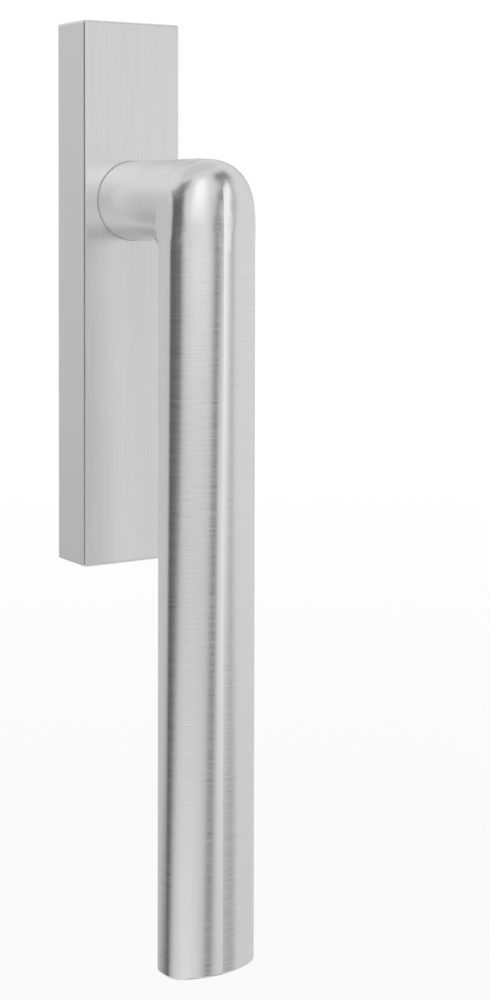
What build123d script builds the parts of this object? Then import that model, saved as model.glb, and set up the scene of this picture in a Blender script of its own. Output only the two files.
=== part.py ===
from build123d import *
import math
import os

# Lever handle for a lift-and-slide door, with the lever hanging down at rest.
# Millimetres, +Z up. The room is towards -Y and the door leaf towards +Y.
# The origin is the point where the spindle's axis meets the door's face.
# "Forward" is the distance from the door's face into the room.

# Escutcheon cover, a folded and welded shell open towards the door
cover_width = 40.0
cover_height = 200.0
cover_depth = 21.0
cover_end_from_fixing = 26.0
cover_wall = 1.5
cover_edge_radius = 0.9
cover_lip_depth = 0.9
cover_lip_height = 1.2
cover_lip_forward = 4.2

# Lever: neck, bend, half-moon grip
neck_radius = 14.6
hand_space = 48.6
grip_depth = 15.7
grip_half_width = 17.2
grip_lean = 1.0
grip_below_axis = 265.5
grip_arch_radius = 30.0
grip_front_corner_radius = 6.6
grip_back_corner_radius = 1.2
grip_end_radius = 0.8
bend_inner_radius = 3.0
bend_fullness = 4.4
bend_sections = 9
shoulder_turn_deg = 6.0
shoulder_spread = 2.15
oval_hold = 1.2

# Journal behind the neck, with the groove for the circlip
journal_radius = 10.0
journal_set_back = 0.6
journal_chamfer = 0.5
groove_depth = 0.5
groove_set_back = 0.6
circlip_thickness = 1.2
circlip_width = 2.1
circlip_ear_radius = 1.7
circlip_ear_set_out = 0.18
circlip_ear_hole_radius = 0.8
circlip_gap_deg = 26.0

# Bearing stack in the hub
running_clearance = 0.05
end_play = 0.1
fit_clearance = 0.02
washer_thickness = 1.2
washer_bore_clearance = 0.15
washer_width = 3.35
spring_thickness = 0.7
spring_free_height = 1.3
spring_rim_set_in = 0.3
bush_flange = 1.2
bush_wall = 1.45
bush_sleeve = 4.4
bush_flange_gap = 0.9
hub_bore_length = 10.2
hub_rim = 0.6
recess_clearance = 0.4

# Square spindle and its cross pin
spindle_side = 10.0
spindle_reach = 28.0
spindle_seat = 30.0
spindle_chamfer = 0.6
socket_clearance = 0.05
socket_end_room = 1.0
pin_radius = 1.5
pin_set_in = 0.2

# Nylon ring round the neck, and the gap between neck and cover
neck_gap = 0.3
ring_wall = 1.5
ring_cover_gap = 0.2

# Die-cast base plate
base_gap = 0.3
base_floor = 2.5
base_rim_height = 8.0
base_rim_wall = 2.5
base_corner_radius = 1.0
rib_width = 1.8
rib_offset = 9.5
rib_spacing = 20.0
rib_end_room = 20.0

# Fixing screws through steel support sleeves, on the gear's centres
fixing_spacing = 80.0
screw_radius = 3.0
screw_waist_radius = 2.65
screw_reach = 32.0
screw_head_radius = 5.0
screw_head_height = 5.0
screw_head_chamfer = 0.6
screw_hex_across = 4.0
screw_hex_depth = 3.0
screw_tip_chamfer = 0.7
screw_hole_clearance = 0.4
boss_radius = 8.5
sleeve_radius = 5.9
sleeve_reach = 10.0
sleeve_seat = 5.5
sleeve_seat_radius = 7.2
sleeve_chamfer = 0.5
sleeve_to_thread = 2.0
lock_washer_thickness = 1.5
lock_washer_radius = 5.2
lock_washer_slit = 1.0

# Spring clips that hold the cover, with their small screws
clip_width = 12.0
clip_thickness = 0.8
clip_bend_radius = 1.2
clip_foot = 11.0
clip_nose = 1.5
clip_height = 12.0
clip_wall_gap = 0.9
clip_notch_gap = 1.0
clip_notch_overcut = 0.1
clip_screw_radius = 1.5
clip_screw_head_radius = 2.8
clip_screw_head_height = 1.8
clip_screw_head_chamfer = 0.6
clip_screw_slot = 0.8
clip_screw_from_end = 10.0
clip_screw_tip_forward = 0.3

# Places that follow from the sizes above
cover_top = fixing_spacing / 2 + cover_end_from_fixing
cover_bottom = cover_top - cover_height
cover_middle = (cover_top + cover_bottom) / 2
cavity_width = cover_width - 2 * cover_wall
cavity_height = cover_height - 2 * cover_wall
cavity_front = cover_depth - cover_wall
groove_radius = journal_radius - groove_depth
circlip_back = journal_set_back + journal_chamfer + groove_set_back
circlip_front = circlip_back + circlip_thickness
washer_front = circlip_front + washer_thickness
spring_front = washer_front + spring_free_height
rear_flange_back = spring_front + end_play
recess_floor = rear_flange_back + bush_flange
hub_face = recess_floor + hub_bore_length
front_flange_face = hub_face + bush_flange
neck_shoulder = front_flange_face + end_play
bush_bore = journal_radius + running_clearance
bush_outer = bush_bore + bush_wall
washer_outer_radius = journal_radius + washer_bore_clearance + washer_width
recess_radius = washer_outer_radius + recess_clearance
ring_bore = neck_radius + neck_gap
hub_radius = ring_bore + ring_wall + hub_rim
bush_flange_radius = ring_bore - bush_flange_gap
shoulder_half_width = neck_radius + shoulder_spread
grip_back = cover_depth + hand_space
grip_front = grip_back + grip_depth
bend_centre_forward = grip_back - bend_inner_radius
bend_centre_z = -neck_radius - bend_inner_radius
socket_half = spindle_side / 2 + socket_clearance
pin_forward = recess_floor + hub_bore_length / 2
fixing_heights = {"upper": fixing_spacing / 2, "lower": -fixing_spacing / 2}
base_width = cavity_width - 2 * base_gap
base_height = cavity_height - 2 * base_gap
clip_ends = {"upper": (cover_top, -1), "lower": (cover_bottom, 1)}


def door_plane(forward=0.0, x=0.0, z=0.0):
    """A sketch plane parallel to the door, facing the room."""
    return Plane(origin=(x, -forward, z), x_dir=(1, 0, 0), z_dir=(0, -1, 0))


def bar(radius, back, front, z=0.0):
    """A round bar square to the door, between two distances forward of it."""
    return extrude(door_plane(back, 0, z) * Circle(radius), front - back)


def block(width, height, back, front, x=0.0, z=0.0):
    """A rectangular block square to the door."""
    return extrude(door_plane(back, x, z) * Rectangle(width, height), front - back)


def ring(outer, inner, back, front, z=0.0):
    """A plain ring or tube square to the door."""
    return bar(outer, back, front, z) - bar(inner, back, front, z)


def edges_at(shape, forward):
    """The edges of a shape that lie wholly at one distance forward of the door."""
    return shape.edges().filter_by_position(Axis.Y, -forward - 0.001, -forward + 0.001)


def front_curve(half_width, depth):
    """Half of an oval front, from its middle out to the half-moon's full width at half its depth."""
    angles = [math.radians(a) for a in (0, 10.5, 21, 31.5, 42, 51.5, 61, 70.5)]
    return [(half_width * math.sin(a), depth / 2 * (1 + math.cos(a))) for a in angles]


def half_moon_front(half_width, depth, inset=0.0):
    """Half of the grip's front: a shallow arch and a round corner. inset moves it inwards."""
    arch = grip_arch_radius - inset
    corner = grip_front_corner_radius - inset
    side = half_width - inset
    arch_centre = depth - inset - arch
    turn = math.asin((side - corner) / (arch - corner))
    corner_height = arch_centre + (arch - corner) * math.cos(turn)
    arch_turns = [turn * i / 4 for i in range(4)]
    corner_turns = [turn + (math.pi / 2 - turn) * i / 4 for i in range(4)]
    points = [(arch * math.sin(a), arch_centre + arch * math.cos(a)) for a in arch_turns]
    points += [(side - corner + corner * math.sin(a), corner_height + corner * math.cos(a)) for a in corner_turns]
    return points, corner_height


def flat_back(half_width, shoulder_height, inset=0.0):
    """Half of the flat sides and back, with small back corners, from a height above the back."""
    heel = grip_back_corner_radius - inset
    side = half_width - inset
    turns = [math.pi / 2 * (1 + i / 4) for i in range(4)]
    drop = shoulder_height - inset - heel
    points = [(side, shoulder_height - drop * share) for share in (0, 0.55, 0.88)]
    points += [(side - heel + heel * math.sin(a), inset + heel + heel * math.cos(a)) for a in turns]
    points += [((side - heel) * share, inset) for share in (1, 0.92, 0.55, 0)]
    return points


def round_outline(radius):
    """Half of the neck's circle, with its points spread like those of the half-moon."""
    stops = [(0, 42, 4), (42, 80, 4), (80, 104, 3), (104, 140, 4), (140, 180, 3)]
    angles = [start + (end - start) * i / count for start, end, count in stops for i in range(count)] + [180]
    return [(radius * math.sin(math.radians(a)), radius * (1 + math.cos(math.radians(a)))) for a in angles]


def half_moon_outline(half_width, depth, moon=1.0, inset=0.0):
    """Half of the section from the front's middle to the back's middle, heights measured from the back.

    The back is flat and the sides are straight. moon is 0 for an oval front and 1 for the grip's own.
    """
    arched, corner_height = half_moon_front(half_width, depth, inset)
    oval = front_curve(half_width, depth)
    shoulder = (1 - moon) * depth / 2 + moon * corner_height
    front = [((1 - moon) * ox + moon * ax, (1 - moon) * oy + moon * ay) for (ox, oy), (ax, ay) in zip(oval, arched)]
    return front + flat_back(half_width, shoulder, inset)


def lever_section(plane, back, half):
    """A face across the lever from half of its outline, set out from the plane's own centre."""
    half = [(x, back + y) for x, y in half]
    other_half = [(-x, y) for x, y in reversed(half[1:-1])]
    return plane * make_face(Spline(*half, *other_half, periodic=True))


def lever_plane(turn_deg, forward=0.0, down=0.0):
    """A plane across the lever at a turn of the bend: 0 is across the neck, 90 across the grip."""
    turn = math.radians(turn_deg)
    origin = (0, -(bend_centre_forward + forward), bend_centre_z - down)
    return Plane(origin=origin, x_dir=(1, 0, 0), z_dir=(0, -math.cos(turn), -math.sin(turn)))


def bend_reach(turn_deg):
    """Distance from the bend's inner centre to the lever's outer side at a turn of the bend.

    The outer side runs along the neck's top and the grip's front, and is rounded between them as a
    superellipse. A higher bend_fullness makes a fuller corner.
    """
    up = math.cos(math.radians(turn_deg)) / (neck_radius - bend_centre_z)
    forward = math.sin(math.radians(turn_deg)) / (grip_front - bend_centre_forward)
    return (up**bend_fullness + forward**bend_fullness) ** (-1 / bend_fullness)


def ease(share):
    """Smooth change from 0 to 1 that starts and ends level."""
    return share * share * (3 - 2 * share)


def make_lever():
    """Neck, bend and grip in one casting, with the turned journal and its square socket."""
    reach = bend_inner_radius
    run = grip_below_axis + bend_centre_z
    circle = round_outline(neck_radius)
    neck_start = lever_section(lever_plane(0, neck_shoulder - bend_centre_forward), reach, circle)
    neck_end = lever_section(lever_plane(0), reach, circle)
    bend = []
    for step in range(bend_sections):
        share = step / (bend_sections - 1)
        turn = shoulder_turn_deg + (90 - shoulder_turn_deg) * share
        moon = ease(share**oval_hold)
        half_width = shoulder_half_width + (grip_half_width - shoulder_half_width) * moon
        outline = half_moon_outline(half_width, bend_reach(turn) - reach, moon)
        bend.append(lever_section(lever_plane(turn), reach, outline))
    grip_top = bend[-1]
    grip_end = grip_top.moved(Location((0, grip_lean, grip_end_radius - run)))
    rounding = [grip_end]
    for i in range(1, 4):
        angle = math.pi / 6 * i
        below = grip_end_radius * math.sin(angle)
        inset = grip_end_radius * (1 - math.cos(angle))
        outline = half_moon_outline(grip_half_width, grip_depth, 1, inset)
        tip = lever_section(lever_plane(90, 0, run - grip_end_radius + below), reach - grip_lean, outline)
        rounding.append(tip)
    body = loft([neck_start, neck_end], ruled=True)
    body += loft([neck_end, bend[0]], ruled=True)
    body += loft(bend)
    body += loft([grip_top, grip_end], ruled=True)
    body += loft(rounding, ruled=True)

    journal = bar(journal_radius, journal_set_back, neck_shoulder)
    journal = chamfer(edges_at(journal, journal_set_back), journal_chamfer)
    journal -= ring(2 * journal_radius, groove_radius, circlip_back, circlip_front)
    body += journal
    body -= block(2 * socket_half, 2 * socket_half, 0, spindle_seat + socket_end_room)
    body -= cross_bar(pin_radius + fit_clearance, 3 * journal_radius)
    return body


def cross_bar(radius, length):
    """A round bar across the spindle, at the cross pin's place."""
    middle = Plane(origin=(0, -pin_forward, 0), x_dir=(0, 1, 0), z_dir=(1, 0, 0))
    return extrude(middle * Circle(radius), length / 2, both=True)


def make_spindle():
    spindle = block(spindle_side, spindle_side, -spindle_reach, spindle_seat)
    ends = edges_at(spindle, -spindle_reach) + edges_at(spindle, spindle_seat)
    return chamfer(ends, spindle_chamfer) - cross_bar(pin_radius + fit_clearance, 2 * spindle_side)


def make_spindle_pin():
    return cross_bar(pin_radius, 2 * (journal_radius - pin_set_in))


def make_circlip():
    """External retaining ring with two eared ends, opening downwards."""
    outer = groove_radius + fit_clearance + circlip_width
    ear_centre = outer + circlip_ear_set_out
    ear_deg = -90 + circlip_gap_deg / 2
    flat = Circle(outer) - Circle(groove_radius + fit_clearance)
    gap = Polyline(
        (0, 0),
        (2 * outer * math.sin(math.radians(circlip_gap_deg / 4)), -2 * outer),
        (-2 * outer * math.sin(math.radians(circlip_gap_deg / 4)), -2 * outer),
        close=True,
    )
    ears = Sketch()
    for side in (-1, 1):
        x = side * ear_centre * math.cos(math.radians(ear_deg))
        y = ear_centre * math.sin(math.radians(ear_deg))
        ears += Pos(x, y) * Circle(circlip_ear_radius)
    flat = flat - make_face(gap)
    flat = (flat + ears) - Circle(groove_radius + fit_clearance)
    for side in (-1, 1):
        x = side * ear_centre * math.cos(math.radians(ear_deg))
        y = ear_centre * math.sin(math.radians(ear_deg))
        flat -= Pos(x, y) * Circle(circlip_ear_hole_radius)
    return extrude(door_plane(circlip_back) * flat, circlip_thickness)


def make_thrust_washer():
    return ring(washer_outer_radius, journal_radius + washer_bore_clearance, circlip_front, washer_front)


def make_disc_spring():
    """Conical spring washer, its rim on the thrust washer and its eye towards the rear bush."""
    rim = washer_outer_radius - spring_rim_set_in
    eye = journal_radius + washer_bore_clearance
    profile = Polyline(
        (rim, -washer_front, 0),
        (rim, -washer_front - spring_thickness, 0),
        (eye, -spring_front, 0),
        (eye, -spring_front + spring_thickness, 0),
        close=True,
    )
    return revolve(make_face(profile), Axis.Y)


def make_bush(flange_back, sleeve_back, flange_radius):
    """Flanged nylon bush for the journal."""
    bush = ring(flange_radius, bush_bore, flange_back, flange_back + bush_flange)
    return bush + ring(bush_outer - fit_clearance, bush_bore, sleeve_back, sleeve_back + bush_sleeve)


def make_guide_ring():
    """Nylon ring on the hub's face that closes the gap round the neck from inside."""
    return ring(ring_bore + ring_wall, ring_bore, hub_face, cavity_front - ring_cover_gap)


def make_cover():
    """Shell with one front wall, four side walls, and a catch lip inside each end."""
    shell = block(cover_width, cover_height, 0, cover_depth, z=cover_middle)
    front = edges_at(shell, cover_depth)
    corners = shell.edges().filter_by(Axis.Y)
    shell = fillet(front + corners, cover_edge_radius)
    shell -= block(cavity_width, cavity_height, 0, cavity_front, z=cover_middle)
    shell -= bar(ring_bore, cavity_front, cover_depth)
    for end, inwards in clip_ends.values():
        middle = end + inwards * (cover_wall + cover_lip_depth / 2)
        shell += block(
            clip_width, cover_lip_depth, cover_lip_forward, cover_lip_forward + cover_lip_height, z=middle
        )
    return shell


def make_base_plate():
    """Die-cast carrier: floor, rim, ribs, hub and two screw bosses."""
    outline = RectangleRounded(base_width, base_height, base_corner_radius)
    core = Rectangle(base_width - 2 * base_rim_wall, base_height - 2 * base_rim_wall)
    middle = door_plane(0, 0, cover_middle)
    plate = extrude(middle * outline, base_floor)
    plate += extrude(middle * (outline - core), base_rim_height)
    plate += bar(hub_radius, 0, hub_face)
    for z in fixing_heights.values():
        plate += bar(boss_radius, 0, base_rim_height, z)
    rib_top = cover_top - cover_wall - rib_end_room
    rib_bottom = cover_bottom + cover_wall + rib_end_room
    for side in (-1, 1):
        plate += block(
            rib_width, rib_top - rib_bottom, 0, base_rim_height, side * rib_offset, (rib_top + rib_bottom) / 2
        )
    lowest = -fixing_spacing / 2 - rib_spacing
    for i in range(int((lowest - rib_bottom) / rib_spacing) + 1):
        plate += block(base_width - base_rim_wall, rib_width, 0, base_rim_height, z=lowest - i * rib_spacing)
    for end, inwards in clip_ends.values():
        notch = end + inwards * (cover_wall + base_gap + base_rim_wall / 2)
        notch_width = clip_width + 2 * clip_notch_gap
        notch_depth = base_rim_wall + 2 * clip_notch_overcut
        plate -= block(notch_width, notch_depth, base_floor, base_rim_height, z=notch)
        screw = end + inwards * (cover_wall + clip_screw_from_end)
        plate -= bar(clip_screw_radius + fit_clearance, 0, base_floor, screw)
    plate -= bar(recess_radius, 0, recess_floor)
    plate -= bar(bush_outer, recess_floor, hub_face)
    for z in fixing_heights.values():
        plate -= bar(sleeve_seat_radius + fit_clearance, 0, sleeve_seat, z)
        plate -= bar(screw_radius + screw_hole_clearance, sleeve_seat, base_rim_height, z)
    return plate


def make_sleeve(z):
    """Turned steel sleeve, pressed into the base plate up to its shoulder and standing into the door."""
    tube = bar(sleeve_radius, -sleeve_reach, 0, z)
    tube = chamfer(edges_at(tube, -sleeve_reach), sleeve_chamfer)
    tube += bar(sleeve_seat_radius, 0, sleeve_seat, z)
    return tube - bar(screw_radius + screw_hole_clearance, -sleeve_reach, sleeve_seat, z)


def make_fixing_screw(z):
    """Socket-head screw with a reduced shank up to the thread that enters the door gear."""
    seat = base_rim_height + lock_washer_thickness
    thread_start = -sleeve_reach - sleeve_to_thread
    head = bar(screw_head_radius, seat, seat + screw_head_height, z)
    head = chamfer(edges_at(head, seat + screw_head_height), screw_head_chamfer)
    hexagon = RegularPolygon(screw_hex_across / 2, 6, major_radius=False)
    top = door_plane(seat + screw_head_height - screw_hex_depth, 0, z)
    head -= extrude(top * hexagon, screw_hex_depth)
    thread = bar(screw_radius, -screw_reach, thread_start, z)
    thread = chamfer(edges_at(thread, -screw_reach), screw_tip_chamfer)
    return head + bar(screw_waist_radius, thread_start, seat, z) + thread


def make_lock_washer(z):
    """Split spring washer, pressed flat under the screw's head."""
    washer = ring(
        lock_washer_radius,
        screw_radius + screw_hole_clearance / 2,
        base_rim_height,
        base_rim_height + lock_washer_thickness,
        z,
    )
    slit = block(
        lock_washer_radius,
        lock_washer_slit,
        base_rim_height,
        base_rim_height + lock_washer_thickness,
        lock_washer_radius,
        z,
    )
    return washer - slit


def clip_line(end, inwards):
    """The middle line of a spring clip's section, from its foot to its tip, as (forward, z) pairs."""
    wall = end + inwards * (cover_wall + clip_wall_gap + clip_thickness / 2)
    foot_forward = base_floor + clip_thickness / 2
    catch = cover_lip_forward + cover_lip_height
    return [
        (foot_forward, wall + inwards * clip_foot),
        (foot_forward, wall + inwards * clip_nose),
        (catch, wall + inwards * clip_nose),
        (catch + clip_nose + clip_thickness, wall),
        (clip_height, wall + inwards * 2 * clip_nose),
    ]


def make_clip(end, inwards):
    """Bent strip of spring steel whose nose catches behind the cover's lip."""
    path = [Vector(0, -forward, z) for forward, z in clip_line(end, inwards)]
    line = FilletPolyline(*path, radius=clip_bend_radius)
    start = Plane(origin=line @ 0, x_dir=(1, 0, 0), z_dir=line % 0)
    strip = sweep(start * Rectangle(clip_width, clip_thickness), path=line)
    screw = end + inwards * (cover_wall + clip_screw_from_end)
    return strip - bar(clip_screw_radius + fit_clearance, 0, base_floor + 2 * clip_thickness, screw)


def make_clip_screw(end, inwards):
    """Small slotted screw through the clip's foot into the base plate."""
    z = end + inwards * (cover_wall + clip_screw_from_end)
    seat = base_floor + clip_thickness
    head = bar(clip_screw_head_radius, seat, seat + clip_screw_head_height, z)
    head = chamfer(edges_at(head, seat + clip_screw_head_height), clip_screw_head_chamfer)
    head -= block(
        3 * clip_screw_head_radius,
        clip_screw_slot,
        seat + clip_screw_head_height / 2,
        seat + clip_screw_head_height,
        z=z,
    )
    return head + bar(clip_screw_radius, clip_screw_tip_forward, seat, z)


parts = {
    "lever": make_lever(),
    "spindle": make_spindle(),
    "spindle_pin": make_spindle_pin(),
    "circlip": make_circlip(),
    "thrust_washer": make_thrust_washer(),
    "disc_spring": make_disc_spring(),
    "cover": make_cover(),
    "guide_ring": make_guide_ring(),
    "base_plate": make_base_plate(),
    "front_bush": make_bush(hub_face, hub_face - bush_sleeve, bush_flange_radius),
    "rear_bush": make_bush(rear_flange_back, recess_floor, washer_outer_radius),
}
for place, z in fixing_heights.items():
    parts["sleeve_" + place] = make_sleeve(z)
    parts["fixing_screw_" + place] = make_fixing_screw(z)
    parts["lock_washer_" + place] = make_lock_washer(z)
for place, (end, inwards) in clip_ends.items():
    parts["clip_" + place] = make_clip(end, inwards)
    parts["clip_screw_" + place] = make_clip_screw(end, inwards)

os.makedirs("parts", exist_ok=True)
for name, solid in parts.items():
    solid.label = name
    export_step(solid, os.path.join("parts", name + ".step"))
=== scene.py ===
import bpy
import math
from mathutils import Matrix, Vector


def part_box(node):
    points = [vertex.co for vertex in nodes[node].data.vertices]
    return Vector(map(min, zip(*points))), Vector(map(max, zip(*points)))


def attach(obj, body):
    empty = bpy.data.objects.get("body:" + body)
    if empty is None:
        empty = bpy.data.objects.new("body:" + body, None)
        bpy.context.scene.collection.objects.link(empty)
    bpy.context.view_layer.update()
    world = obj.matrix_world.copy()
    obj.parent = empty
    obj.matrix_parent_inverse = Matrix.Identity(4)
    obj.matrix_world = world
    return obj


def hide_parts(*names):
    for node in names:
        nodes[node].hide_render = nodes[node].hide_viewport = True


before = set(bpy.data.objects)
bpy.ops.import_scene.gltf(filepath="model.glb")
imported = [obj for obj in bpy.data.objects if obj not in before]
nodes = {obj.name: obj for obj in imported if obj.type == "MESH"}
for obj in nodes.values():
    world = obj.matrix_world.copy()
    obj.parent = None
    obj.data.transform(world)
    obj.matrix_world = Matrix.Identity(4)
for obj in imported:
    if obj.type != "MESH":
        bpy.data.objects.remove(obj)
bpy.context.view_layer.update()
scene = bpy.context.scene


# Camera
# It stands to the left of the handle at the height of its spindle, turned 32 degrees towards it,
# and looks down by less than a degree. The lens is shifted down to take in the hanging grip.
camera_place = (-0.32436, -0.60873, -0.00274)
turn_to_handle = 32.432
tilt_down = 0.7
camera_data = bpy.data.cameras.new("camera")
camera = bpy.data.objects.new("camera", camera_data)
scene.collection.objects.link(camera)
camera.location = camera_place
camera.rotation_euler = (math.radians(90 - tilt_down), 0, math.radians(-turn_to_handle))
camera_data.sensor_width = 36
camera_data.lens = 65.13
camera_data.shift_y = -0.2697
camera_data.clip_start = 0.01
camera_data.clip_end = 20
scene.camera = camera
scene.view_settings.view_transform = "Standard"


# Studio
# A white tent with soft panels and gaps all round, and a pale floor well below the hanging grip.
# Camera and transmission rays see the tent as plain white paper, and all others see its panels.
def linear(hex_colour):
    """A colour written as an sRGB hex value, as the linear one that a shader takes."""
    channels = [int(hex_colour[i:i + 2], 16) / 255 for i in (1, 3, 5)]
    return [c / 12.92 if c <= 0.04045 else ((c + 0.055) / 1.055) ** 2.4 for c in channels] + [1]


def add(tree, kind, settings=None, inputs=None):
    """Adds a node. settings are its own properties. inputs are values, or sockets to link from."""
    node = tree.nodes.new("ShaderNode" + kind)
    for name, value in (settings or {}).items():
        setattr(node, name, value)
    for name, value in (inputs or {}).items():
        if isinstance(value, bpy.types.NodeSocket):
            tree.links.new(value, node.inputs[name])
        else:
            node.inputs[name].default_value = value
    return node


def blank(name):
    """A new material with no nodes yet. Returns the material and its node tree."""
    material = bpy.data.materials.new(name)
    material.use_nodes = True
    material.node_tree.nodes.clear()
    return material, material.node_tree


def window(tree, value, start, end, soft):
    """1 between two values and 0 outside them, with edges that are soft all over their width."""
    rise = add(
        tree, "MapRange", {"interpolation_type": "SMOOTHSTEP"},
        {"Value": value, "From Min": start - soft / 2, "From Max": start + soft / 2},
    )
    fall = add(
        tree, "MapRange", {"interpolation_type": "SMOOTHSTEP"},
        {
            "Value": value, "From Min": end - soft / 2, "From Max": end + soft / 2,
            "To Min": 1.0, "To Max": 0.0,
        },
    )
    both = add(tree, "Math", {"operation": "MULTIPLY"}, {0: rise.outputs[0], 1: fall.outputs[0]})
    return both.outputs[0]


# The tent's panels and gaps in the order that they are hung, each over the ones before. In degrees:
# compass runs from straight in front of the plate, 0, to its right, 90, and height from the horizon.
# soft is the width of the soft edges, sideways and upright. lean is how far a panel's edge moves to
# the right for each degree up.
tent_level = 0.79
panels = {
    "door_side_left": dict(light=0.62, compass=(-200, -128), height=(-70, 12), soft=(14, 20), lean=0),
    "door_side_right": dict(light=0.62, compass=(88, 200), height=(-70, 30), soft=(14, 20), lean=0),
    "gap_left_low": dict(light=0.1, compass=(-116, -10), height=(-34, 2), soft=(24, 8), lean=1.6),
    "gap_left": dict(light=0.13, compass=(-117, -40), height=(-8, 26), soft=(26, 12), lean=0),
    "gap_left_high": dict(light=0.24, compass=(-140, -80), height=(22, 50), soft=(20, 10), lean=1.2),
    "roof": dict(light=0.66, compass=(-400, 400), height=(56, 200), soft=(10, 20), lean=0),
    "floor_left": dict(light=0.8, compass=(-4, 130), height=(-80, 4), soft=(32, 8), lean=4.5),
    "front": dict(light=0.765, compass=(-28, 110), height=(-80, 60), soft=(18, 20), lean=0),
    "soft_box": dict(light=1.15, compass=(-13, 9), height=(0, 42), soft=(16, 10), lean=0),
    "soft_box_foot": dict(light=0.86, compass=(-13, 2), height=(-12, 2), soft=(12, 8), lean=0.6),
    "foot_gap": dict(light=0.62, compass=(-40, 14), height=(-18, -4), soft=(14, 8), lean=0.45),
    "foot_light": dict(light=0.9, compass=(-32, 4), height=(-60, -22), soft=(16, 8), lean=0.45),
    "flag": dict(light=0.16, compass=(18, 29), height=(-60, 42), soft=(8, 10), lean=0.6),
    "right_low": dict(light=0.69, compass=(27, 110), height=(-60, -14), soft=(6, 16), lean=0.45),
    "strip": dict(light=1.12, compass=(28, 43), height=(-16, 28), soft=(5, 16), lean=0.45),
    "strip_edge": dict(light=0.5, compass=(41.5, 49), height=(-60, 28), soft=(5, 12), lean=0.2),
    "strip_edge_low": dict(light=0.4, compass=(42, 58), height=(-60, -16), soft=(10, 8), lean=0.3),
    "gap_above": dict(light=0.2, compass=(26, 62), height=(28, 46), soft=(14, 10), lean=0),
}
world = bpy.data.worlds.new("white_tent")
scene.world = world
world.use_nodes = True
tree = world.node_tree
tree.nodes.clear()
direction = add(tree, "TexCoord").outputs["Generated"]
parts = add(tree, "SeparateXYZ", inputs={"Vector": direction})
to_room = add(tree, "Math", {"operation": "MULTIPLY"}, {0: parts.outputs["Y"], 1: -1.0})
compass = add(tree, "Math", {"operation": "ARCTAN2"}, {0: parts.outputs["X"], 1: to_room.outputs[0]})
compass = add(tree, "Math", {"operation": "DEGREES"}, {0: compass.outputs[0]}).outputs[0]
height = add(tree, "Math", {"operation": "ARCSINE"}, {0: parts.outputs["Z"]})
height = add(tree, "Math", {"operation": "DEGREES"}, {0: height.outputs[0]}).outputs[0]
light = tent_level
for name, panel in panels.items():
    leaning = add(
        tree, "Math", {"operation": "MULTIPLY_ADD"}, {0: height, 1: -panel["lean"], 2: compass},
    )
    across = window(tree, leaning.outputs[0], *panel["compass"], panel["soft"][0])
    upright = window(tree, height, *panel["height"], panel["soft"][1])
    inside = add(tree, "Math", {"operation": "MULTIPLY"}, {0: across, 1: upright})
    hung = add(tree, "Mix", {"label": name}, {"Factor": inside.outputs[0], 2: light, 3: panel["light"]})
    light = hung.outputs[0]
ray = add(tree, "LightPath")
plain_view = add(
    tree, "Math", {"operation": "MAXIMUM"},
    {0: ray.outputs["Is Camera Ray"], 1: ray.outputs["Is Transmission Ray"]},
)
shown = add(tree, "Mix", inputs={"Factor": plain_view.outputs[0], 2: light, 3: 1.0})
sky = add(tree, "Background", inputs={"Color": shown.outputs[0], "Strength": 1.0})
add(tree, "OutputWorld", inputs={"Surface": sky.outputs[0]})

# The floor glows as white paper to the camera. Its matt share, larger near the handle, takes the
# shadow. Reflections on the metal show the tent's low panels in its place.
floor_z = -0.50
floor_size = 24
matt_within = 0.4
white_beyond = 3.0
least_glow = 0.88
bpy.ops.object.select_all(action="DESELECT")
bpy.ops.mesh.primitive_plane_add(size=floor_size, location=(0, 0, floor_z))
floor = bpy.context.object
floor.name = "floor"
paper, tree = blank("white_paper")
ray = add(tree, "LightPath")
seen = add(
    tree, "Math", {"operation": "MAXIMUM"},
    {0: ray.outputs["Is Camera Ray"], 1: ray.outputs["Is Glossy Ray"]},
)
seen = add(
    tree, "Math", {"operation": "MAXIMUM"}, {0: seen.outputs[0], 1: ray.outputs["Is Transmission Ray"]},
)
floor_place = add(tree, "TexCoord").outputs["Object"]
away = add(tree, "VectorMath", {"operation": "LENGTH"}, {0: floor_place})
glow_share = add(
    tree, "MapRange", {"interpolation_type": "SMOOTHSTEP"},
    {
        "Value": away.outputs["Value"], "From Min": matt_within, "From Max": white_beyond,
        "To Min": least_glow, "To Max": 1.0,
    },
)
share = add(tree, "Math", {"operation": "MULTIPLY"}, {0: seen.outputs[0], 1: glow_share.outputs[0]})
matt = add(tree, "BsdfDiffuse", inputs={"Color": linear("#f6f6f6")})
glow = add(tree, "Emission", inputs={"Color": linear("#ffffff"), "Strength": 1.0})
mixed = add(tree, "MixShader", inputs={"Fac": share.outputs[0], 1: matt.outputs[0], 2: glow.outputs[0]})
add(tree, "OutputMaterial", inputs={"Surface": mixed.outputs[0]})
floor.data.materials.append(paper)
floor.visible_glossy = False


# Escutcheon cover
# A shell of 1.5 mm stainless steel, folded, welded at the corners and ground smooth. The last
# finish is a belt run lengthways, which leaves fine upright lines and a satin sheen.
def metal(name, colour, roughness, anisotropy=0.0):
    """A new material with a metal shader. Returns the material, its node tree and the shader."""
    material, tree = blank(name)
    shader = add(tree, "BsdfPrincipled", inputs={
        "Base Color": linear(colour), "Metallic": 1.0, "Roughness": roughness, "Anisotropic": anisotropy,
    })
    add(tree, "OutputMaterial", inputs={"Surface": shader.outputs[0]})
    return material, tree, shader


def dress(node, material):
    """Gives a carried-over node its finished material in place of the plain one."""
    for slot in nodes[node].material_slots:
        slot.material = material


def shade(tree, shader, colour, tone):
    """Links the colour to the shader, made darker and lighter by a tone around 1."""
    shaded = add(tree, "VectorMath", {"operation": "SCALE"}, {0: linear(colour)[:3], "Scale": tone})
    tree.links.new(shaded.outputs[0], shader.inputs["Base Color"])


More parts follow.
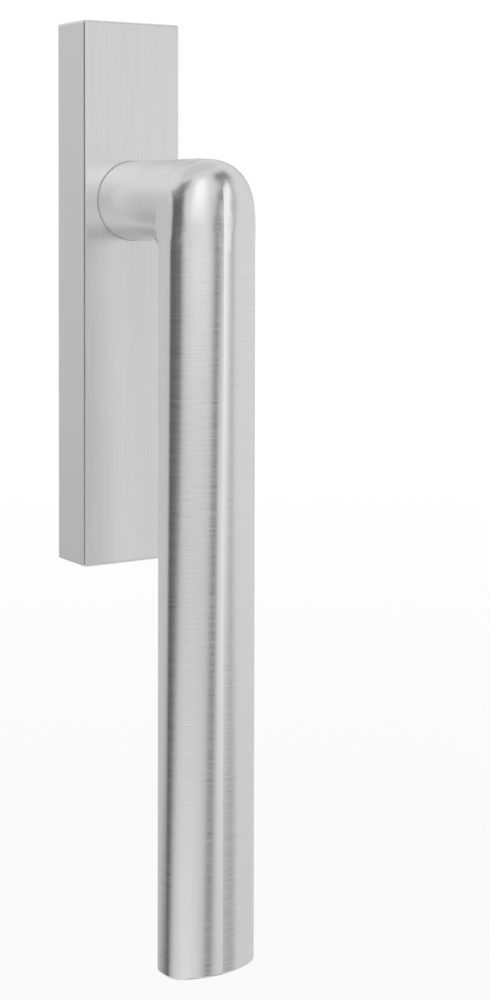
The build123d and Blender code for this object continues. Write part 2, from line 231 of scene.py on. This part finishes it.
def streaks(tree, vector, across_mm, along_mm):
    """Noise drawn out into lines, along_mm long and across_mm apart. vector is in metres as
    (across, across, along)."""
    scaled = add(
        tree, "VectorMath", {"operation": "MULTIPLY"},
        {0: vector, 1: (1000 / across_mm, 1000 / across_mm, 1000 / along_mm)},
    )
    noise = add(
        tree, "TexNoise", {"noise_dimensions": "3D"},
        {"Vector": scaled.outputs[0], "Scale": 1.0, "Detail": 2.0, "Roughness": 0.6},
    )
    return noise.outputs["Fac"]


# Most values of the noise lie in this range. The lines are drawn coarser than the belt's real ones,
# which are too fine to show.
noise_range = {"From Min": 0.3, "From Max": 0.7}
cover_steel = "#f4f4f4"
belt_line_mm = 0.22
belt_stroke_mm = 28
belt_depth = 0.00002
brushed_upright, tree, shader = metal("stainless_steel_belt_ground_upright", cover_steel, 0.34, 0.5)
place = add(tree, "TexCoord").outputs["Object"]
lines = streaks(tree, place, belt_line_mm, belt_stroke_mm)
tone = add(tree, "MapRange", inputs={"Value": lines, **noise_range, "To Min": 0.955, "To Max": 1.03})
shade(tree, shader, cover_steel, tone.outputs[0])
rough = add(tree, "MapRange", inputs={"Value": lines, **noise_range, "To Min": 0.3, "To Max": 0.38})
tree.links.new(rough.outputs[0], shader.inputs["Roughness"])
bump = add(tree, "Bump", inputs={"Height": lines, "Strength": 0.25, "Distance": belt_depth})
tree.links.new(bump.outputs[0], shader.inputs["Normal"])
sideways = add(tree, "Tangent", {"direction_type": "RADIAL", "axis": "Z"})
tree.links.new(sideways.outputs[0], shader.inputs["Tangent"])
dress("cover", brushed_upright)


# Lever
# Neck, bend and half-moon grip are one investment casting in stainless steel. A belt grinds bend and
# grip all round, so its fine lines run across the lever and turn with it at the bend. The neck is
# finished finer and lengthways, which leaves it more matt, with no lines to see. Its colour is also
# painted paler than the grip's: painted light that lifts the shade on the neck.
lever_steel = "#ededed"
grip_depth = 0.0157
bend_inner_radius = 0.003
neck_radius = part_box("lever")[1].z
bend_forward = -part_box("lever")[0].y - grip_depth - bend_inner_radius
bend_z = -neck_radius - bend_inner_radius
bend_middle_radius = 0.020
belt_mark_mm = 0.42
belt_sweep_mm = 10
# How much paler the neck's colour is painted: painted light, not a colour of the steel.
neck_painted_light = 1.12
neck_added_roughness = 0.12

# The two finishes blend between these places, which are metres from the bend's centre, below zero
# towards the door.
neck_finish_to = -0.036
grip_finish_from = -0.002

# travelled is the way along the lever: below zero on the neck, zero where the bend starts, and on
# round the bend and down the grip.
belt_round, tree, shader = metal("stainless_steel_belt_ground_round", lever_steel, 0.2, 0.75)
place = add(tree, "TexCoord").outputs["Object"]
xyz = add(tree, "SeparateXYZ", inputs={"Vector": place})
beyond = add(
    tree, "Math", {"operation": "MULTIPLY_ADD"}, {0: xyz.outputs["Y"], 1: -1.0, 2: -bend_forward},
)
above = add(tree, "Math", {"operation": "SUBTRACT"}, {0: xyz.outputs["Z"], 1: bend_z})
angle = add(tree, "Math", {"operation": "ARCTAN2"}, {0: beyond.outputs[0], 1: above.outputs[0]})
in_bend = add(tree, "Clamp", inputs={"Value": angle.outputs[0], "Min": 0.0, "Max": math.pi / 2})
on_neck = add(tree, "Math", {"operation": "MINIMUM"}, {0: beyond.outputs[0], 1: 0.0})
on_grip = add(tree, "Math", {"operation": "MINIMUM"}, {0: above.outputs[0], 1: 0.0})
travelled = add(
    tree, "Math", {"operation": "MULTIPLY_ADD"},
    {0: in_bend.outputs[0], 1: bend_middle_radius, 2: on_neck.outputs[0]},
)
travelled = add(
    tree, "Math", {"operation": "SUBTRACT"}, {0: travelled.outputs[0], 1: on_grip.outputs[0]},
).outputs[0]
path_place = add(tree, "CombineXYZ", inputs={"X": travelled, "Y": travelled, "Z": xyz.outputs["X"]})

# The belt's lines, again coarser than the real ones, fade out on the way onto the neck.
round_lines = streaks(tree, path_place.outputs[0], belt_mark_mm, belt_sweep_mm)
past_neck = add(
    tree, "MapRange", {"interpolation_type": "SMOOTHSTEP"},
    {"Value": on_neck.outputs[0], "From Min": neck_finish_to, "From Max": grip_finish_from},
)
past_neck = past_neck.outputs["Result"]
lines = add(tree, "Mix", inputs={"Factor": past_neck, 2: 0.5, 3: round_lines}).outputs[0]
tone = add(tree, "MapRange", inputs={"Value": lines, **noise_range, "To Min": 0.953, "To Max": 1.038})
# The neck's colour is painted paler here, fading out towards the bend: painted light.
painted_neck_light = add(tree, "MapRange", inputs={"Value": past_neck, "To Min": neck_painted_light, "To Max": 1.0})
tone = add(tree, "Math", {"operation": "MULTIPLY"}, {0: tone.outputs[0], 1: painted_neck_light.outputs[0]})
shade(tree, shader, lever_steel, tone.outputs[0])
rough = add(tree, "MapRange", inputs={"Value": lines, **noise_range, "To Min": 0.16, "To Max": 0.24})
added = add(tree, "MapRange", inputs={"Value": past_neck, "To Min": neck_added_roughness, "To Max": 0.0})
rough = add(tree, "Math", {"operation": "ADD"}, {0: rough.outputs[0], 1: added.outputs[0]})
tree.links.new(rough.outputs[0], shader.inputs["Roughness"])
bump = add(tree, "Bump", inputs={"Height": lines, "Strength": 0.11, "Distance": belt_depth})
tree.links.new(bump.outputs[0], shader.inputs["Normal"])

# The tangent lies across the finish's lines: along the bend and grip, and round the neck.
sine = add(tree, "Math", {"operation": "SINE"}, {0: in_bend.outputs[0]})
cosine = add(tree, "Math", {"operation": "COSINE"}, {0: in_bend.outputs[0]})
along = add(tree, "CombineXYZ", inputs={"X": 0.0, "Y": cosine.outputs[0], "Z": sine.outputs[0]})
minus_x = add(tree, "Math", {"operation": "MULTIPLY"}, {0: xyz.outputs["X"], 1: -1.0})
around = add(tree, "CombineXYZ", inputs={"X": xyz.outputs["Z"], "Y": 0.0, "Z": minus_x.outputs[0]})
around = add(tree, "VectorMath", {"operation": "NORMALIZE"}, {0: around.outputs[0]})
across = add(
    tree, "Mix", {"data_type": "VECTOR"},
    {"Factor": past_neck, 4: around.outputs[0], 5: along.outputs[0]},
)
across_world = add(
    tree, "VectorTransform", {"vector_type": "VECTOR", "convert_from": "OBJECT", "convert_to": "WORLD"},
    {"Vector": across.outputs[1]},
)
tree.links.new(across_world.outputs[0], shader.inputs["Tangent"])
dress("lever", belt_round)


# Guide ring
# A ring of light grey nylon on the hub's face. Its thin lip fills the gap between the neck and the
# cover almost to the front, keeps the two from scraping and shows as a fine line round the neck.
def moulded(name, colour, roughness, mottle_mm):
    """A moulded plastic with a faint cloudy tone and an eggshell surface."""
    skin_grain_mm = 0.25
    skin_depth = 0.00002
    material, tree = blank(name)
    shader = add(tree, "BsdfPrincipled", inputs={"Roughness": roughness, "IOR": 1.53})
    add(tree, "OutputMaterial", inputs={"Surface": shader.outputs[0]})
    place = add(tree, "TexCoord").outputs["Object"]
    cloud = add(tree, "TexNoise", inputs={"Vector": place, "Scale": 1000 / mottle_mm, "Detail": 3.0})
    tone = add(tree, "MapRange", inputs={"Value": cloud.outputs["Fac"], "To Min": 0.92, "To Max": 1.05})
    shade(tree, shader, colour, tone.outputs[0])
    skin = add(tree, "TexNoise", inputs={"Vector": place, "Scale": 1000 / skin_grain_mm, "Detail": 2.0})
    bump = add(
        tree, "Bump", inputs={"Height": skin.outputs["Fac"], "Strength": 0.3, "Distance": skin_depth},
    )
    tree.links.new(bump.outputs[0], shader.inputs["Normal"])
    return material


def round_piece(name, outline, sides, axis_z=0.0):
    """A round piece on an axis through the door. outline holds its (radius, y) from ring to ring: a
    closed one makes a ring, an open one starts with a closed end and makes a solid piece."""
    same_place = 0.000002
    bpy.ops.object.select_all(action="DESELECT")
    bpy.ops.mesh.primitive_circle_add(
        vertices=sides, radius=outline[0][0], location=(0, outline[0][1], axis_z),
        rotation=(math.pi / 2, 0, 0), fill_type="NOTHING" if outline[0] == outline[-1] else "NGON",
    )
    piece = bpy.context.object
    piece.name = name
    bpy.ops.object.transform_apply(location=True, rotation=True, scale=True)
    bpy.ops.object.mode_set(mode="EDIT")
    bpy.ops.mesh.select_all(action="SELECT")
    for (radius, y), (next_radius, next_y) in zip(outline, outline[1:]):
        bpy.ops.mesh.extrude_region_move(TRANSFORM_OT_translate={"value": (0, next_y - y, 0)})
        growth = next_radius / radius
        bpy.ops.transform.resize(value=(growth, 1, growth), center_override=(0, 0, axis_z))
    bpy.ops.mesh.select_all(action="SELECT")
    bpy.ops.mesh.remove_doubles(threshold=same_place)
    bpy.ops.mesh.normals_make_consistent(inside=False)
    bpy.ops.object.mode_set(mode="OBJECT")
    return piece


ring_low, ring_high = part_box("guide_ring")
ring_sides = 128
ring_wall = 0.0015
lip_play = 0.00004
lip_depth = 0.00005
lip_foot = 0.0004
hub_face = ring_high.y
lip_inner = neck_radius + lip_play
lip_outer = ring_high.x - ring_wall
lip_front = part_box("cover")[0].y + lip_depth
outline = [
    (lip_outer, hub_face), (lip_outer, ring_low.y + lip_foot), (lip_inner, ring_low.y + lip_foot),
    (lip_inner, lip_front), (lip_outer - lip_play, lip_front), (lip_outer - lip_play, ring_low.y),
    (ring_high.x, ring_low.y), (ring_high.x, hub_face), (lip_outer, hub_face),
]
guide_ring = round_piece("guide_ring_with_lip", outline, ring_sides)
smooth_under = math.radians(30)
bpy.ops.object.shade_smooth_by_angle(angle=smooth_under)
guide_ring.data.materials.append(moulded("nylon_light_grey", "#eeeeec", roughness=0.45, mottle_mm=4))
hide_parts("guide_ring")
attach(guide_ring, "escutcheon")


# Front and rear bush
# Flanged bushes of natural white nylon, injection moulded, pressed into the hub from both sides.
# They carry the journal dry, without grease, so their bores stay matt.
nylon_natural = moulded("nylon_natural_white", "#e4e0d4", roughness=0.5, mottle_mm=3)
for name in ("front_bush", "rear_bush"):
    dress(name, nylon_natural)


# Base plate
# Zinc alloy, pressure die-cast and tumbled, left bare because the cover hides it. The skin is dull
# with fine grain and a cloudy tone from the flow of the melt.
zinc_grey = "#b4b6b8"
flow_mm = 14
cast_grain_mm = 0.35
cast_depth = 0.00006
zinc_cast, tree, shader = metal("zinc_die_cast_tumbled", zinc_grey, 0.5)
place = add(tree, "TexCoord").outputs["Object"]
flow = add(
    tree, "TexNoise",
    inputs={"Vector": place, "Scale": 1000 / flow_mm, "Detail": 4.0, "Distortion": 0.8},
)
tone = add(tree, "MapRange", inputs={"Value": flow.outputs["Fac"], "To Min": 0.82, "To Max": 1.1})
shade(tree, shader, zinc_grey, tone.outputs[0])
grain = add(tree, "TexNoise", inputs={"Vector": place, "Scale": 1000 / cast_grain_mm, "Detail": 3.0})
rough = add(tree, "MapRange", inputs={"Value": grain.outputs["Fac"], "To Min": 0.42, "To Max": 0.6})
tree.links.new(rough.outputs[0], shader.inputs["Roughness"])
bump = add(
    tree, "Bump", inputs={"Height": grain.outputs["Fac"], "Strength": 0.5, "Distance": cast_depth},
)
tree.links.new(bump.outputs[0], shader.inputs["Normal"])
dress("base_plate", zinc_cast)


# Spindle
# A cold-drawn 10 mm square bar, zinc plated. Drawing leaves faint lines along it, and the thin
# passivated zinc gives it a cool, slightly clouded shine.
def plated(name, across_mm, along_mm):
    """Zinc-plated steel with machining lines. The two spacings are across and along the Y axis."""
    cloud_mm = 6
    line_depth = 0.00002
    material, tree, shader = metal(name, "#c3c7cc", 0.3)
    place = add(tree, "TexCoord").outputs["Object"]
    cloud = add(tree, "TexNoise", inputs={"Vector": place, "Scale": 1000 / cloud_mm, "Detail": 3.0})
    tint = add(
        tree, "Mix", {"data_type": "RGBA"},
        {"Factor": cloud.outputs["Fac"], 6: linear("#b9bfc8"), 7: linear("#ccccc6")},
    )
    tree.links.new(tint.outputs[2], shader.inputs["Base Color"])
    scaled = add(
        tree, "VectorMath", {"operation": "MULTIPLY"},
        {0: place, 1: (1000 / across_mm, 1000 / along_mm, 1000 / across_mm)},
    )
    lines = add(tree, "TexNoise", inputs={"Vector": scaled.outputs[0], "Scale": 1.0, "Detail": 2.0})
    rough = add(tree, "MapRange", inputs={"Value": lines.outputs["Fac"], "To Min": 0.22, "To Max": 0.4})
    tree.links.new(rough.outputs[0], shader.inputs["Roughness"])
    bump = add(
        tree, "Bump", inputs={"Height": lines.outputs["Fac"], "Strength": 0.35, "Distance": line_depth},
    )
    tree.links.new(bump.outputs[0], shader.inputs["Normal"])
    return material


dress("spindle", plated("steel_drawn_zinc_plated", across_mm=0.3, along_mm=20))


# Spindle pin, sleeves, clip screws and washers
# Turned and faced from mild steel, then zinc plated in the barrel. Turning leaves fine rings round
# each piece, drawn coarser here than the real ones.
steel_turned = plated("steel_turned_zinc_plated", across_mm=8, along_mm=0.18)
turned_names = ["spindle_pin", "thrust_washer"]
for side in ("upper", "lower"):
    for kind in ("sleeve", "lock_washer", "clip_screw"):
        turned_names.append(kind + "_" + side)
for name in turned_names:
    dress(name, steel_turned)


# Fixing screws
# M6 socket-head screws, cold headed from steel wire, with a rolled thread, zinc plated. The shank is
# turned down from the head to the thread, which enters the door's gear.
screw_sides = 48
head_chamfer = 0.0006
waist_radius = 0.00265
crest_radius = 0.003
root_radius = 0.00239
tip_chamfer = 0.0007
thread_pitch = 0.001
rows_per_turn = 8
sleeve_to_thread = 0.002
socket_across = 0.004
socket_depth = 0.003
screw_low, screw_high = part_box("fixing_screw_upper")
lower_low, lower_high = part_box("fixing_screw_lower")
upper_axis = (screw_low.z + screw_high.z) / 2
lower_axis = (lower_low.z + lower_high.z) / 2
screw_tip = screw_high.y
head_front = screw_low.y
head_radius = screw_high.x
head_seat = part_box("lock_washer_upper")[0].y
thread_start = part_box("sleeve_upper")[1].y + sleeve_to_thread
thread_rows = round((screw_tip - thread_start) / thread_pitch * rows_per_turn)
socket_radius = socket_across / 2
outline = [(crest_radius, screw_tip - thread_pitch / rows_per_turn * i) for i in range(thread_rows + 1)]
outline += [
    (waist_radius, thread_start), (waist_radius, head_seat), (head_radius, head_seat),
    (head_radius, head_front + head_chamfer), (head_radius - head_chamfer, head_front),
    (socket_radius, head_front), (socket_radius, head_front + socket_depth),
]
upper_screw = round_piece("fixing_screw_upper_threaded", outline, screw_sides, upper_axis)

# The plain rows are moved onto the thread's helix here, and the socket's to a hexagon. The flat on
# the crest and the flank beside it are shares of half a pitch. The thread deepens over its first
# turn and is cut down at the chamfered tip.
crest_flat = 0.12
flank_width = 0.76
on_radius = 0.00001
flat_angle = math.pi / 3
for vertex in upper_screw.data.vertices:
    x = vertex.co.x
    z = vertex.co.z - upper_axis
    radius = math.hypot(x, z)
    turn = math.atan2(x, z)
    shaped = radius
    if abs(radius - socket_radius) < on_radius:
        shaped = socket_radius / math.cos((turn + flat_angle / 2) % flat_angle - flat_angle / 2)
    if abs(radius - crest_radius) < on_radius:
        turns_in = (vertex.co.y - thread_start) / thread_pitch
        from_crest = abs(2 * ((turns_in - turn / (2 * math.pi)) % 1) - 1)
        cut = min(max((from_crest - crest_flat) / flank_width, 0), 1) * min(turns_in, 1)
        shaped = crest_radius - (crest_radius - root_radius) * cut
        shaped = min(shaped, crest_radius - tip_chamfer + screw_tip - vertex.co.y)
    vertex.co.x = x * shaped / radius
    vertex.co.z = upper_axis + z * shaped / radius
bpy.ops.object.shade_smooth_by_angle(angle=smooth_under)
upper_screw.data.materials.append(steel_turned)
lower_screw = upper_screw.copy()
lower_screw.data = upper_screw.data.copy()
lower_screw.name = "fixing_screw_lower_threaded"
scene.collection.objects.link(lower_screw)
for vertex in lower_screw.data.vertices:
    vertex.co.z += lower_axis - upper_axis
for screw, node in ((upper_screw, "fixing_screw_upper"), (lower_screw, "fixing_screw_lower")):
    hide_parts(node)
    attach(screw, "escutcheon")


# Springs
# The cover's clips, the disc spring and the circlip are hardened spring steel. Oil hardening leaves
# a dark grey skin, rubbed brighter in streaks where the strip was rolled.
spring_grey = "#6b6c6e"
roll_line_mm = 0.5
roll_streak_mm = 9
steel_rolled, tree, shader = metal("spring_steel_oil_hardened", spring_grey, 0.36)
place = add(tree, "TexCoord").outputs["Object"]
rolled = streaks(tree, place, roll_line_mm, roll_streak_mm)
tone = add(tree, "MapRange", inputs={"Value": rolled, **noise_range, "To Min": 0.75, "To Max": 1.2})
shade(tree, shader, spring_grey, tone.outputs[0])
rough = add(tree, "MapRange", inputs={"Value": rolled, **noise_range, "To Min": 0.44, "To Max": 0.3})
tree.links.new(rough.outputs[0], shader.inputs["Roughness"])
for name in ("clip_upper", "clip_lower", "disc_spring", "circlip"):
    dress(name, steel_rolled)
